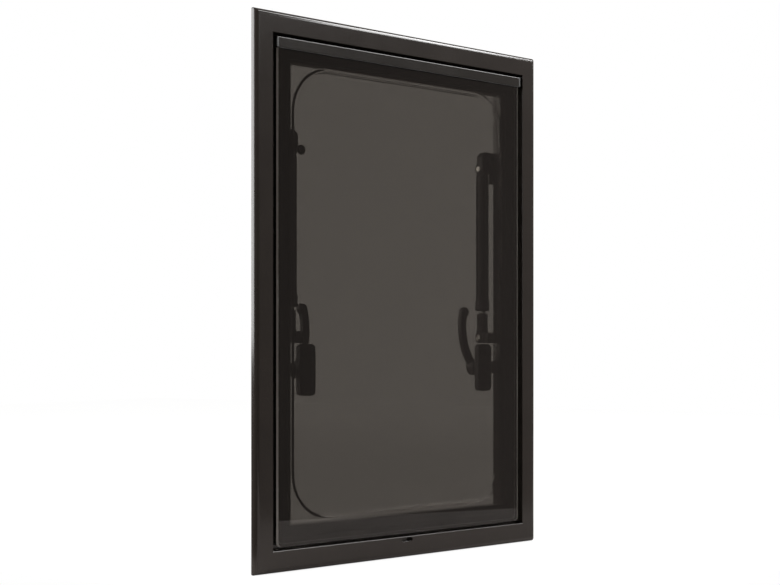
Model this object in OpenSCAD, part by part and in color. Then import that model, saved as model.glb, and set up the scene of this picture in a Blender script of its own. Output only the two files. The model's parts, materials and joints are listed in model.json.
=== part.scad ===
// Top-hung caravan window: a moulded frame that overlaps the wall, a double acrylic sash,
// a hinge rail along the top, and a latch and a telescopic stay at each side.
// X runs to the right as seen from outside, -Y points outdoors and +Z is up.
// The origin lies on the flat back of the flange, in the middle of the bottom edge.

/* [Frame] */
// Width over the flange
frame_w = 380; // [340:5:700]
// Height over the flange
frame_h = 530; // [500:5:800]
// Width of the flange face
flange_w = 21; // [20:0.5:22]
// Thickness of the flange in front of the wall
flange_t = 6.5; // [5.5:0.25:8]
// Overlap of the flange on the wall
overlap = 15; // [12:0.5:17]
// Depth of the frame behind the face of the wall
frame_depth = 15.5; // [15:0.5:18]
// Width of the frame from its outer edge to the clear opening
frame_in = 45; // [44:0.5:47]
// Depth of the seat for the seal behind the face of the wall
seat_depth = 4; // [3.5:0.25:5]
// Radius of the outer corners
corner_r = 7; // [6:0.5:10]
// Radius of the front outer edge
front_r = 4; // [2:0.5:5]
// Width of the drain slot
drain_w = 15; // [8:1:30]
// Height of the drain slot
drain_h = 4.2; // [3:0.2:5]
// Depth of the drain slot
drain_depth = 4.5; // [2:0.5:5]

/* [Sash] */
// Thickness of the outer pane
pane_t = 4; // [3:0.5:4]
// Depth of the outer pane behind the face of the flange
pane_recess = 0.5; // [0:0.25:1]
// Gap beside the outer pane
side_gap = 6.5; // [5:0.5:8]
// Gap under the outer pane
bottom_gap = 3.4; // [2.5:0.1:5]
// Radius of the outer pane's corners
pane_corner_r = 4; // [2:0.5:8]
// Thickness of the inner pane
inner_t = 3; // [2.5:0.25:3]
// Step of the inner pane between its border and its field
inner_step = 5; // [4:0.5:6]
// Border of the inner pane behind the edge of the outer pane
inner_inset = 2.5; // [2:0.5:4]
// Gap between the clear opening and the foot of the moulded step
step_gap = 1.2; // [0.8:0.2:3]
// Run of the moulded step
step_run = 6; // [4:0.5:8]
// Corner radius of the moulded step
step_corner_r = 46; // [20:1:60]
// Diameter of the breather plug's head
plug_d = 9.6; // [8:0.2:14]
// Diameter of the breather plug's stem
plug_stem_d = 6; // [4:0.5:7]
// Distance of the breather plug below the top edge of the frame
plug_drop = 127; // [120:1:200]
// Distance of the breather plug from the clear opening
plug_in = 17; // [15:1:40]

/* [Hinge] */
// Gap between the flange and the hinge rail
rail_gap = 3.4; // [3:0.1:4]
// Height of the rail's visible leg
rail_h = 10; // [7:0.5:12]
// Thickness of the rail's legs
rail_t = 2; // [1.5:0.1:2.2]
// Thickness of the rail's leg on the outer pane
rail_leg_t = 1.2; // [0.8:0.1:1.6]
// Wall of the socket around the hinge bead
socket_wall = 1; // [0.8:0.1:1.1]
// Length of each rail end cap
cap_len = 2.5; // [1.5:0.5:4]
// Gap between the hinge socket and the inner pane
socket_clear = 2; // [1:0.25:4]

/* [Latches] */
// Gap between a latch base and the foot of the stay above it
latch_gap = 1; // [0.5:0.5:30]
// Distance of the latch pivots from the clear opening
latch_in = 24.5; // [24:0.5:40]
// Width of a latch base
base_w = 19.5; // [16:0.5:22]
// Height of a latch base
base_h = 50; // [46:1:60]
// Thickness of a latch base
base_t = 7; // [6:0.25:7.5]
// Diameter of the hub of a lever
hub_d = 17; // [15:0.5:20]
// Diameter of a pivot pin
pin_d = 5; // [4:0.5:6]
// Reach of a lever from its pivot to its tip
lever_len = 65; // [60:1:80]
// Width of a lever
lever_w = 9; // [7:0.5:11]
// Thickness of a lever
lever_t = 6.5; // [5:0.25:7]
// Gap for the fingers between a latch base and its lever
finger_gap = 7.5; // [5:0.5:9]
// Sideways bow of a lever's arm towards the middle of the window
lever_bow = 13.3; // [8:0.1:16]
// Height of the widest place of the bow above the pivot
bow_h = 41.5; // [34:0.5:48]
// Diameter of the knob at a lever's tip
knob_d = 11.2; // [9.2:0.2:14]
// Rise of a lever's tip away from the pane
lever_rise = 4.2; // [1:0.2:6]
// Reach of the catch nose from the pivot
nose_len = 19; // [17:0.5:19.5]
// Thickness of the catch nose
nose_t = 4; // [3:0.5:5]
// Diameter of a release button
button_d = 9; // [7:0.5:11]
// Depth of a release button in its base
button_seat = 3; // [2:0.5:4]
// Height of a strike
strike_h = 12.6; // [12:0.2:20]

/* [Stays] */
// Distance of a stay from the clear opening
stay_in = 14; // [13:0.5:14]
// Depth of a stay behind the face of the wall
stay_depth = 20.5; // [19.5:0.5:26]
// Outside diameter of the outer tube
tube_d = 13.6; // [12:0.2:14.4]
// Bore of the outer tube
tube_bore = 11; // [9:0.2:11.4]
// Diameter of the rod
rod_d = 6.2; // [5:0.2:8]
// Distance of the upper pivots below the top edge of the frame
stay_drop = 124.5; // [90:0.5:130]
// Length of the outer tube
tube_len = 127.5; // [110:0.5:135]
// Height of a bracket
bracket_h = 34; // [30:1:40]
// Height of a bracket's hood above the upper pivot
bracket_rise = 18; // [14:1:20]
// Height of the round part of a head, above the outer tube
head_h = 7.2; // [4:0.2:12]
// Height of the collar under the outer tube
collar_h = 12; // [8:0.5:16]
// Diameter of the collar beyond the outer tube
collar_over = 1.6; // [0.8:0.2:3]
// Length of rod that shows between collar and end with the window shut
neck_h = 3; // [2:0.5:8]
// Height of the round part of a stay's end
end_h = 19.4; // [12:0.2:24]
// Diameter of a stay's end
end_d = 11.6; // [10:0.2:12]
// Diameter of the stay's pivot pins
stay_pin_d = 4; // [3:0.5:5]

/* [Hidden] */

$fn = 48;
// Gap between a moving face and the one it slides on
run_gap = 0.3;
// Gap around a pin in a turning hub
pin_gap = 0.2;
// Gap around a fixed pin or stem
fixed_gap = 0.1;
// Extra length of a cutter past the faces that it cuts
over = 1;

// Heights are measured up from the bottom edge of the flange, as z + edge_z
edge_z = overlap / 2;
mid_z = frame_h / 2 - edge_z;
half_w = frame_w / 2;

// Depths run into the room from the face of the wall, so outdoors is negative
pane_front = pane_recess - flange_t;
pane_back = pane_front + pane_t;
border_back = pane_back + inner_t;
field_back = border_back + inner_step;

// Sash outline, in distances from the outer edge of the flange
pane_side = flange_w + side_gap;
pane_bottom = flange_w + bottom_gap;
rail_top = flange_w + rail_gap;
pane_top = rail_top + rail_t + run_gap;
pane_w = frame_w - 2 * pane_side;
pane_h = frame_h - pane_bottom - pane_top;
pane_shift = (pane_bottom - pane_top) / 2;

// Hinge, whose socket fills the room between the outer pane and the seat
socket_r = (seat_depth - pane_back - run_gap) / 2;
bead_r = socket_r - socket_wall - run_gap;
bead_x = rail_top + rail_t / 2;
bead_depth = seat_depth - socket_r;
rail_len = pane_w;
rail_edge_r = 0.6;

// Inner pane, whose border clears the socket at the top
inner_w = pane_w - 2 * inner_inset;
inner_top = bead_x + socket_r + socket_clear;
inner_h = frame_h - pane_bottom - inner_inset - inner_top;
inner_shift = (pane_bottom + inner_inset - inner_top) / 2;

// Moulded step of the inner pane
step_w = frame_w - 2 * (frame_in + step_gap);
step_h = frame_h - 2 * (frame_in + step_gap);
step_points = 10;
step_lap = 2;

// Seal, between the seat and the border of the inner pane
seal_margin = 2;
seal_out = pane_side + inner_inset + seal_margin;
seal_in = frame_in - seal_margin;

// Stays, from the upper pivot down to the foot on the inner pane
stay_x = -half_w + frame_in + stay_in;
stay_top_z = frame_h - edge_z - stay_drop;
eye_w = 7;
eye_r = end_d / 2;
cheek_t = 1.8;
cheek_r = eye_r;
// Half of the slot between two cheeks, which leaves the eye free to turn
cheek_in = eye_w / 2 + run_gap;
// Distance of a stay's round parts from its pivots, past the cheeks
shoulder = cheek_r + 1;
// Distance of the outer faces of two cheeks from the stay's axis
cheek_out = cheek_in + cheek_t;
bracket_t = 3;
bracket_w = 18;
bracket_chamfer = 4.5;
bracket_slope = 5;
hood_back = 3;
head_stem = 12;
head_edge = 1.5;
tube_top_z = stay_top_z - shoulder - head_h;
tube_bottom_z = tube_top_z - tube_len;
rod_play = 3;
collar_d = tube_d + collar_over;
collar_seat = 10;
collar_edge = 1.5;
groove_w = 1.2;
groove_depth = 0.5;
end_top_z = tube_bottom_z - collar_h - neck_h;
end_seat = 10;
end_edge = 1.5;
foot_t = 2.5;
foot_h = 5.5;
stay_foot_z = end_top_z - end_h - shoulder;

// Latches, just below the feet of the stays
pivot_x = -half_w + frame_in + latch_in;
pivot_z = stay_foot_z - cheek_r - latch_gap - base_h / 2;
base_back = field_back + base_t;
base_corner_r = 5;
base_edge_r = 2;
boss_d = hub_d - 2;
boss_back = frame_depth + 0.2;
hub_front = boss_back + run_gap;
hub_back = base_back + finger_gap + lever_t;
pin_seat = 1.5;
rivet_t = 1.2;
rivet_over = 3;
button_z = pivot_z - base_h / 2 + button_d;
button_out = 1.6;
button_edge = 0.6;
nose_h = 10;
nose_r = 1.5;
nose_grip = 5;
strike_reach = latch_in - nose_len + nose_grip;
strike_front = field_back + 2;
strike_chamfer = 4;
plate_t = 1.5;
plate_w = 16;
plate_margin = 5;
plate_r = 3;

PLASTIC = "#232322";
FRAME_COLOUR = "#2a2a29";

// A solid block between two opposite corners
module block(low, high) {
    translate(low) cube(high - low);
}

// Centred rectangle with round corners, flat in XY
module round_rect(w, h, r) {
    square([w - 2 * r, h], center = true);
    square([w, h - 2 * r], center = true);
    for (x = [-1, 1], y = [-1, 1])
        translate([x * (w / 2 - r), y * (h / 2 - r)]) circle(r);
}

// Stands a shape drawn in XY up in the window's plane, between two depths
module upright(front, back, z = mid_z) {
    translate([0, back, z]) rotate([90, 0, 0]) linear_extrude(back - front) children();
}

// Runs a section, drawn from the corner centre outwards, round a rectangle with round corners
module run_round(w, h, r) {
    for (k = [0:3]) {
        half = (k % 2 == 0 ? w : h) / 2 - r;
        len = (k % 2 == 0 ? h : w) - 2 * r;
        rotate(90 * k) translate([half, len / 2, 0]) {
            rotate([90, 0, 0]) linear_extrude(len) children();
            rotate_extrude(angle = 90) children();
        }
    }
}

// Section of a plate's rim with a rounded upper edge
module rim_section(r, t, edge) {
    intersection() {
        square([r, t]);
        union() {
            square([r - edge, t]);
            square([r, t - edge]);
            translate([r - edge, t - edge]) circle(edge);
        }
    }
}

// Plate with round corners and a rounded upper edge, lying on XY
module soft_plate(w, h, r, t, edge) {
    linear_extrude(t) square([w - 2 * r, h - 2 * r], center = true);
    run_round(w, h, r) rim_section(r, t, edge);
}

// A soft plate stood up with its rounded face outdoors
module soft_plate_out(w, h, r, front, back, edge, z) {
    translate([0, back, z]) rotate([90, 0, 0]) soft_plate(w, h, r, back - front, edge);
}

// A soft plate stood up with its rounded face to the room
module soft_plate_in(w, h, r, front, back, edge, x, z) {
    translate([x, front, z]) rotate([-90, 0, 0]) soft_plate(w, h, r, back - front, edge);
}

// A part drawn for the left side, and its mirror image at the right
module at_side(side) {
    mirror([side > 0 ? 1 : 0, 0, 0]) children();
}

module frame() {
    color(FRAME_COLOUR) difference() {
        union() {
            soft_plate_out(frame_w, frame_h, corner_r, -flange_t, 0, front_r, mid_z);
            upright(-over, frame_depth)
                square([frame_w - 2 * overlap, frame_h - 2 * overlap], center = true);
        }
        upright(-flange_t - over, seat_depth)
            square([frame_w - 2 * flange_w, frame_h - 2 * flange_w], center = true);
        upright(0, frame_depth + over)
            square([frame_w - 2 * frame_in, frame_h - 2 * frame_in], center = true);
        drain_slot();
    }
}

// Slot low in the bottom flange that lets rain out of the frame
module drain_slot() {
    rim = 1;
    z = flange_w - rim - drain_h / 2 - edge_z;
    upright(-flange_t - over, -flange_t + drain_depth, z) round_rect(drain_w, drain_h, drain_h / 2 - 0.01);
}

module seal() {
    color("#141414") upright(border_back, seat_depth) difference() {
        square([frame_w - 2 * seal_out, frame_h - 2 * seal_out], center = true);
        square([frame_w - 2 * seal_in, frame_h - 2 * seal_in], center = true);
    }
}

module outer_pane() {
    color("#4a4946", 0.6) upright(pane_front, pane_back, mid_z + pane_shift)
        round_rect(pane_w, pane_h, pane_corner_r);
}

// Depth of the moulded step at a share of its run, as a smooth S
function step_at(share) = inner_step * (1 + cos(180 * share)) / 2;

// Section of the moulded step, from the corner centre outwards, with a lap into the flat on either side
module step_section() {
    inner_r = step_corner_r - step_run;
    shares = [for (i = [0:step_points]) i / step_points];
    low = [for (s = shares) [inner_r + step_run * s, step_at(s)]];
    high = [for (s = shares) [inner_r + step_run * (1 - s), step_at(1 - s) + inner_t]];
    lap_in = inner_r - step_lap;
    lap_out = step_corner_r + step_lap;
    polygon(concat([[lap_in, inner_step]], low, [[lap_out, 0], [lap_out, inner_t]], high,
        [[lap_in, inner_step + inner_t]]));
}

module inner_pane() {
    color("#55534f", 0.5) difference() {
        union() {
            upright(pane_back, border_back, mid_z + inner_shift) difference() {
                round_rect(inner_w, inner_h, pane_corner_r);
                translate([0, -inner_shift]) round_rect(step_w, step_h, step_corner_r);
            }
            translate([0, pane_back, mid_z]) rotate([-90, 0, 0]) {
                run_round(step_w, step_h, step_corner_r) step_section();
                translate([0, 0, inner_step]) linear_extrude(inner_t)
                    round_rect(step_w - 2 * step_run, step_h - 2 * step_run, step_corner_r - step_run);
            }
        }
        plug_axis() cylinder(d = plug_stem_d + 2 * fixed_gap, h = 2 * field_back, center = true);
    }
}

// Places a cylinder's axis through the breather hole, with its start on the back of the field
module plug_axis() {
    translate([-half_w + frame_in + plug_in, field_back, frame_h - edge_z - plug_drop])
        rotate([-90, 0, 0]) children();
}

module breather_plug() {
    rim_t = 1.4;
    edge = 0.8;
    color(PLASTIC) plug_axis() {
        translate([0, 0, -inner_t]) cylinder(d = plug_stem_d, h = inner_t + rim_t);
        cylinder(d = plug_d, h = rim_t);
        translate([0, 0, rim_t]) cylinder(d1 = plug_d, d2 = plug_d - 2 * edge, h = edge);
    }
}

// Lays a section, drawn as distance from the top edge against depth, along the top of the window
module along_top(length) {
    translate([length / 2, 0, frame_h - edge_z]) rotate([0, 90, 180]) linear_extrude(length)
        mirror([0, 1]) children();
}

module hinge_rail_frame() {
    mouth = rail_t + 2 * run_gap;
    color("#1d1d1d") along_top(rail_len) difference() {
        union() {
            translate([bead_x, bead_depth]) circle(socket_r);
            translate([bead_x - socket_r, bead_depth]) square([2 * socket_r, seat_depth - bead_depth]);
        }
        translate([bead_x, bead_depth]) circle(bead_r + run_gap);
        translate([bead_x - mouth / 2, bead_depth - socket_r - over]) square([mouth, socket_r + over]);
    }
}

// Section of the rail on the sash: a leg on the pane with soft edges, a web and the bead
module rail_section() {
    leg_front = pane_front - rail_leg_t;
    soft = leg_front + rail_edge_r;
    translate([rail_top, soft]) square([rail_t, bead_depth - soft]);
    translate([rail_top + rail_edge_r, leg_front]) square([rail_h - 2 * rail_edge_r, rail_leg_t]);
    translate([rail_top, soft]) square([rail_h, rail_leg_t - rail_edge_r]);
    for (x = [rail_edge_r, rail_h - rail_edge_r])
        translate([rail_top + x, soft]) circle(rail_edge_r);
    translate([bead_x, bead_depth]) circle(bead_r);
}

module hinge_rail_sash() {
    color("#1d1d1d") along_top(rail_len) rail_section();
}

module hinge_cap(side) {
    leg_front = pane_front - rail_leg_t;
    color(PLASTIC) at_side(side) translate([-rail_len / 2 - cap_len / 2, 0, 0])
        along_top(cap_len) translate([rail_top, leg_front])
            square([rail_h, bead_depth + bead_r - leg_front]);
}

module latch_base(side) {
    color(PLASTIC) at_side(side) difference() {
        union() {
            soft_plate_in(base_w, base_h, base_corner_r, field_back, base_back, base_edge_r, pivot_x, pivot_z);
            pivot_axis(base_back - over) cylinder(d = boss_d, h = boss_back - base_back + over);
        }
        pivot_axis(field_back + pin_seat) cylinder(d = pin_d + 2 * fixed_gap, h = boss_back);
        button_axis(base_back - button_seat) cylinder(d = button_d + 2 * run_gap, h = button_seat + over);
    }
}

// Axis of a latch, starting at a depth and running into the room
module pivot_axis(depth) {
    translate([pivot_x, depth, pivot_z]) rotate([-90, 0, 0]) children();
}

// Axis of a release button, starting at a depth and running into the room
module button_axis(depth) {
    translate([pivot_x, depth, button_z]) rotate([-90, 0, 0]) children();
}

module latch_pin(side) {
    pin_front = field_back + pin_seat + run_gap;
    color("#8d8d8c") at_side(side) {
        pivot_axis(pin_front) cylinder(d = pin_d, h = hub_back + rivet_t - pin_front);
        pivot_axis(hub_back + run_gap) cylinder(d = pin_d + rivet_over, h = rivet_t);
    }
}

module latch_button(side) {
    button_h = button_seat + button_out - button_edge;
    color("#3a3a39") at_side(side) button_axis(base_back - button_seat + fixed_gap) {
        cylinder(d = button_d, h = button_h);
        translate([0, 0, button_h]) cylinder(d1 = button_d, d2 = button_d - 2 * button_edge, h = button_edge);
    }
}

// Radius of the arc that leaves the pivot and runs through the widest place of the bow
bow_r = (pow(bow_h, 2) + pow(lever_bow, 2)) / (2 * lever_bow);

// Outline of a lever's arm: an arc that leans out of the hub and turns upright, with a knob at its tip
module lever_outline() {
    knob_z = lever_len - knob_d / 2;
    arc_x = lever_bow - bow_r + sqrt(pow(bow_r, 2) - pow(knob_z - bow_h, 2));
    intersection() {
        translate([lever_bow - bow_r, bow_h]) difference() {
            circle(bow_r + lever_w / 2, $fn = 180);
            circle(bow_r - lever_w / 2, $fn = 180);
        }
        translate([-hub_d / 2, 0]) square([hub_d / 2 + lever_bow + lever_w, knob_z]);
    }
    translate([arc_x + (lever_w - knob_d) / 2, knob_z]) circle(knob_d / 2);
}

// Side section of a lever's arm, height against depth: it leaves the hub rising and levels out at the tip
module lever_side() {
    rise_r = (pow(lever_len, 2) + pow(lever_rise, 2)) / (2 * lever_rise);
    translate([lever_rise + lever_t - rise_r, lever_len]) intersection() {
        difference() {
            circle(rise_r, $fn = 180);
            circle(rise_r - lever_t, $fn = 180);
        }
        translate([0, -lever_len - over]) square([rise_r + over, lever_len + 2 * over]);
    }
}

module latch_lever(side) {
    color(PLASTIC) at_side(side) difference() {
        union() {
            intersection() {
                translate([pivot_x, hub_back + lever_rise + over, pivot_z]) rotate([90, 0, 0])
                    linear_extrude(lever_t + lever_rise + 2 * over) lever_outline();
                translate([pivot_x - hub_d, hub_back - lever_t, pivot_z]) rotate([90, 0, 90])
                    linear_extrude(3 * hub_d) lever_side();
            }
            pivot_axis(hub_front) cylinder(d = hub_d, h = hub_back - hub_front);
            nose();
        }
        pivot_axis(hub_front - over) cylinder(d = pin_d + 2 * pin_gap, h = hub_back);
        pivot_axis(hub_back) cylinder(d = pin_d + rivet_over + 2 * run_gap, h = lever_rise + over);
    }
}

// Catch nose of a lever, which bears on the room side of the strike
module nose() {
    block([pivot_x - nose_len + nose_r, hub_front, pivot_z - nose_h / 2],
        [pivot_x, hub_front + nose_t, pivot_z + nose_h / 2]);
    block([pivot_x - nose_len, hub_front, pivot_z - nose_h / 2 + nose_r],
        [pivot_x, hub_front + nose_t, pivot_z + nose_h / 2 - nose_r]);
    for (z = [-1, 1])
        translate([pivot_x - nose_len + nose_r, hub_front, pivot_z + z * (nose_h / 2 - nose_r)])
            rotate([-90, 0, 0]) cylinder(r = nose_r, h = nose_t);
}

module latch_strike(side) {
    jamb = -half_w + frame_in;
    plate_h = strike_h + 2 * plate_margin;
    color(PLASTIC) at_side(side) {
        soft_plate_in(plate_w, plate_h, plate_r, frame_depth, frame_depth + plate_t, 0.6,
            jamb - plate_w / 2, pivot_z);
        difference() {
            block([jamb, strike_front, pivot_z - strike_h / 2],
                [jamb + strike_reach, boss_back, pivot_z + strike_h / 2]);
            translate([jamb + strike_reach, strike_front - over, pivot_z + strike_h / 2])
                rotate([-90, 45, 0]) cube([strike_chamfer, strike_chamfer, 2 * frame_depth], center = true);
        }
    }
}

// Axis of a stay, starting at a height
module stay_axis(z) {
    translate([stay_x, stay_depth, z]) children();
}

// Cylinder along X through the stay's axis at a height, between two distances from it
module cross_pin(z, from, to, d) {
    stay_axis(z) translate([from, 0, 0]) rotate([0, 90, 0]) cylinder(d = d, h = to - from);
}

// Lays a profile, drawn as depth against height from a pivot, across the stay between two distances
module across(z, from, to) {
    stay_axis(z) translate([from, 0, 0]) rotate([90, 0, 90]) linear_extrude(to - from) children();
}

// Bracket of a stay: a plate on the frame's back edge, an arm past the clear opening,
// and a hood over the eye with a cheek at each side of it
module stay_bracket(side) {
    jamb = -half_w + frame_in;
    top = stay_top_z + bracket_rise;
    bottom = top - bracket_h;
    body_x = stay_x - tube_d / 2 - over;
    cheek_low = stay_top_z - cheek_r;
    hood_low = eye_r + run_gap;
    hood_w = cheek_r + hood_back;
    color(PLASTIC) at_side(side) difference() {
        union() {
            soft_plate_in(bracket_w, bracket_h, plate_r, frame_depth, frame_depth + bracket_t, 0.8,
                jamb + 2 - bracket_w / 2, (top + bottom) / 2);
            upright(frame_depth, frame_depth + bracket_t, 0) polygon([[jamb, bottom],
                [body_x, bottom + bracket_slope], [body_x, cheek_low], [stay_x - cheek_in, cheek_low],
                [stay_x - cheek_in, top], [jamb, top]]);
            for (x = [-cheek_out, cheek_in])
                across(stay_top_z, x, x + cheek_t) {
                    circle(cheek_r);
                    translate([-cheek_r, 0]) square([hood_w, bracket_rise]);
                }
            across(stay_top_z, -cheek_out, cheek_out)
                translate([-cheek_r, hood_low]) square([hood_w, bracket_rise - hood_low]);
        }
        cross_pin(stay_top_z, -stay_in, stay_in, stay_pin_d + 2 * fixed_gap);
        translate([stay_x + cheek_out, stay_depth, top]) rotate([0, 45, 0])
            cube([sqrt(2) * bracket_chamfer, 2 * stay_depth, sqrt(2) * bracket_chamfer], center = true);
    }
}

// Disc on XY with a rounded upper edge
module soft_disc(d, h, edge) {
    rotate_extrude() rim_section(d / 2, h, edge);
}

// Stretch of a round body whose sides are cut flat to the width of an eye
module flat_sided(d, from, to) {
    intersection() {
        stay_axis(from) cylinder(d = d, h = to - from);
        block([stay_x - eye_w / 2, 0, from], [stay_x + eye_w / 2, 2 * stay_depth, to]);
    }
}

// Head of a stay: a stem in the outer tube, a round part flush with it, and a flat eye
module stay_head(side) {
    color(PLASTIC) at_side(side) difference() {
        union() {
            stay_axis(tube_top_z - head_stem) cylinder(d = tube_bore - 2 * fixed_gap, h = head_stem + over);
            stay_axis(tube_top_z) soft_disc(tube_d, head_h, head_edge);
            flat_sided(2 * eye_r, tube_top_z + head_h - over, stay_top_z);
            cross_pin(stay_top_z, -eye_w / 2, eye_w / 2, 2 * eye_r);
        }
        cross_pin(stay_top_z, -stay_in, stay_in, stay_pin_d + 2 * pin_gap);
    }
}

module stay_tube(side) {
    color("#2c2c2c") at_side(side) stay_axis(tube_bottom_z) difference() {
        cylinder(d = tube_d, h = tube_len);
        translate([0, 0, -over]) cylinder(d = tube_bore, h = tube_len + 2 * over);
    }
}

// Collar that guides the rod: a grip with two grooves, and a sleeve inside the outer tube
module stay_collar(side) {
    color(PLASTIC) at_side(side) stay_axis(tube_bottom_z - collar_h / 2) difference() {
        union() {
            soft_disc(collar_d, collar_h / 2, collar_edge);
            mirror([0, 0, 1]) soft_disc(collar_d, collar_h / 2, collar_edge);
            cylinder(d = tube_bore - 2 * fixed_gap, h = collar_h / 2 + collar_seat);
        }
        for (z = [-1, 1])
            translate([0, 0, z * groove_w - groove_w / 2]) difference() {
                cylinder(d = collar_d + over, h = groove_w);
                cylinder(d = collar_d - 2 * groove_depth, h = groove_w);
            }
        translate([0, 0, -collar_h]) cylinder(d = rod_d + 2 * pin_gap, h = 2 * collar_h + collar_seat);
    }
}

// Rod, from its seat in the end up to its travel stop inside the tube
module stay_rod(side) {
    rod_bottom = end_top_z - end_seat;
    rod_stop = tube_top_z - head_stem - rod_play;
    color("#a9a9a8") at_side(side) stay_axis(rod_bottom) cylinder(d = rod_d, h = rod_stop - rod_bottom);
}

// End of the rod: a round part and a flat eye
module stay_end(side) {
    color(PLASTIC) at_side(side) difference() {
        union() {
            stay_axis(end_top_z - end_h) soft_disc(end_d, end_h, end_edge);
            flat_sided(end_d, stay_foot_z, end_top_z - end_h + over);
            cross_pin(stay_foot_z, -eye_w / 2, eye_w / 2, 2 * eye_r);
        }
        stay_axis(end_top_z - end_seat - fixed_gap) cylinder(d = rod_d + 2 * fixed_gap, h = end_seat + over);
        cross_pin(stay_foot_z, -stay_in, stay_in, stay_pin_d + 2 * pin_gap);
    }
}

// Profile of a foot's cheek: a round end at the pivot, and a web that slopes down to the pane
module foot_profile() {
    root = [field_back - stay_depth, foot_h - cheek_r];
    touch = atan2(root[1], root[0]) - acos(cheek_r / norm(root));
    circle(cheek_r);
    polygon([[root[0], -cheek_r], [0, -cheek_r], [0, 0], cheek_r * [cos(touch), sin(touch)], root]);
}

// Foot of a stay: a plate on the inner pane with two cheeks
module stay_foot(side) {
    low_z = stay_foot_z - cheek_r;
    color(PLASTIC) at_side(side) difference() {
        union() {
            block([stay_x - cheek_out, field_back, low_z],
                [stay_x + cheek_out, field_back + foot_t, low_z + foot_h]);
            for (x = [-cheek_out, cheek_in])
                across(stay_foot_z, x, x + cheek_t) foot_profile();
        }
        cross_pin(stay_foot_z, -stay_in, stay_in, stay_pin_d + 2 * fixed_gap);
    }
}

// Pin of a stay, with a riveted head towards the middle of the window
module stay_pin(z) {
    cross_pin(z, -cheek_out, cheek_out, stay_pin_d);
    cross_pin(z, cheek_out, cheek_out + rivet_t, stay_pin_d + rivet_over);
}

module stay_top_pin(side) {
    color("#8d8d8c") at_side(side) stay_pin(stay_top_z);
}

module stay_foot_pin(side) {
    color("#8d8d8c") at_side(side) stay_pin(stay_foot_z);
}

frame();
seal();
outer_pane();
inner_pane();
breather_plug();
hinge_rail_frame();
hinge_rail_sash();
hinge_cap(-1);  // hinge_cap_left
hinge_cap(1);  // hinge_cap_right
latch_base(-1);  // latch_base_left
latch_pin(-1);  // latch_pin_left
latch_lever(-1);  // latch_lever_left
latch_button(-1);  // latch_button_left
latch_strike(-1);  // latch_strike_left
latch_base(1);  // latch_base_right
latch_pin(1);  // latch_pin_right
latch_lever(1);  // latch_lever_right
latch_button(1);  // latch_button_right
latch_strike(1);  // latch_strike_right
stay_bracket(-1);  // stay_bracket_left
stay_head(-1);  // stay_head_left
stay_tube(-1);  // stay_tube_left
stay_collar(-1);  // stay_collar_left
stay_rod(-1);  // stay_rod_left
stay_end(-1);  // stay_end_left
stay_foot(-1);  // stay_foot_left
stay_top_pin(-1);  // stay_top_pin_left
stay_foot_pin(-1);  // stay_foot_pin_left
stay_bracket(1);  // stay_bracket_right
stay_head(1);  // stay_head_right
stay_tube(1);  // stay_tube_right
stay_collar(1);  // stay_collar_right
stay_rod(1);  // stay_rod_right
stay_end(1);  // stay_end_right
stay_foot(1);  // stay_foot_right
stay_top_pin(1);  // stay_top_pin_right
stay_foot_pin(1);  // stay_foot_pin_right
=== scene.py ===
import json
import math

import bmesh
import bpy
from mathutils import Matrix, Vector


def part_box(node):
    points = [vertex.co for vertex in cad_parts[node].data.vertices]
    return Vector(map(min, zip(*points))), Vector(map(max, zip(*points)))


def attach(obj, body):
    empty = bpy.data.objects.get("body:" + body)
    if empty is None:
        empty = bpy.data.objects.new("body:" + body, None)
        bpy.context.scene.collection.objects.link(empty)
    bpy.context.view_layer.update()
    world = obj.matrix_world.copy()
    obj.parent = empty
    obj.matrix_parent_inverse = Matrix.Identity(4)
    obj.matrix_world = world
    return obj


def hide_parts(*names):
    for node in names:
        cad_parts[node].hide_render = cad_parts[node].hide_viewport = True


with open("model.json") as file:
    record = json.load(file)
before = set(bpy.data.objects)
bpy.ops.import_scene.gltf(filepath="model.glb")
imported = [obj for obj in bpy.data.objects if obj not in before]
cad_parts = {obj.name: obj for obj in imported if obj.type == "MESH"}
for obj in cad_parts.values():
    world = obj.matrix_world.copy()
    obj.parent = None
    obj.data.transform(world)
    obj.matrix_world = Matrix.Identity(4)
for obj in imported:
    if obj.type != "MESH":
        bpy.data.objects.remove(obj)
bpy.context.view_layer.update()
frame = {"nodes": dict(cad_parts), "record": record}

# Lengths are written in millimetres and turned to metres where a mesh is made.
MM = 0.001

# Camera, worked out from the photo's vanishing point and the window's height. The picture is 780 x 585.
PICTURE_W = 780
FOCAL_PX = 1472.75
HORIZON_BELOW_CENTRE_PX = 52.8
CAMERA_PLACE = Vector((-0.9987, -1.1169, 0.2073))
CAMERA_HEADING = math.radians(41.3)
SENSOR_W = 36.0

# Main sizes of the window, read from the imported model.
FRAME_LOW, FRAME_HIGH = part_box("frame")
PANE_LOW, PANE_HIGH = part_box("outer_pane")
TRAY_LOW, TRAY_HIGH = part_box("inner_pane")
LIP_FRONT = 4 * MM
FLANGE_W = 21 * MM
FRAME_IN = 45 * MM
OVERLAP = 15 * MM


def linear(code):
    """Turns an sRGB hex value into a linear colour with alpha."""
    parts = [int(code[i:i + 2], 16) / 255 for i in (1, 3, 5)]
    return [p / 12.92 if p <= 0.04045 else ((p + 0.055) / 1.055) ** 2.4 for p in parts] + [1.0]


def add(tree, kind, props={}, values={}, links={}):
    """Adds a node, with its settings, its socket values and what feeds its sockets."""
    node = tree.nodes.new(kind)
    for name, value in props.items():
        setattr(node, name, value)
    for name, value in values.items():
        node.inputs[name].default_value = value
    for name, (source, output) in links.items():
        tree.links.new(source.outputs[output], node.inputs[name])
    return node


def new_material(name):
    """An empty node material, with its node tree and output."""
    material = bpy.data.materials.new(name)
    material.use_nodes = True
    material.node_tree.nodes.clear()
    out = add(material.node_tree, "ShaderNodeOutputMaterial")
    return material, material.node_tree, out


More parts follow.
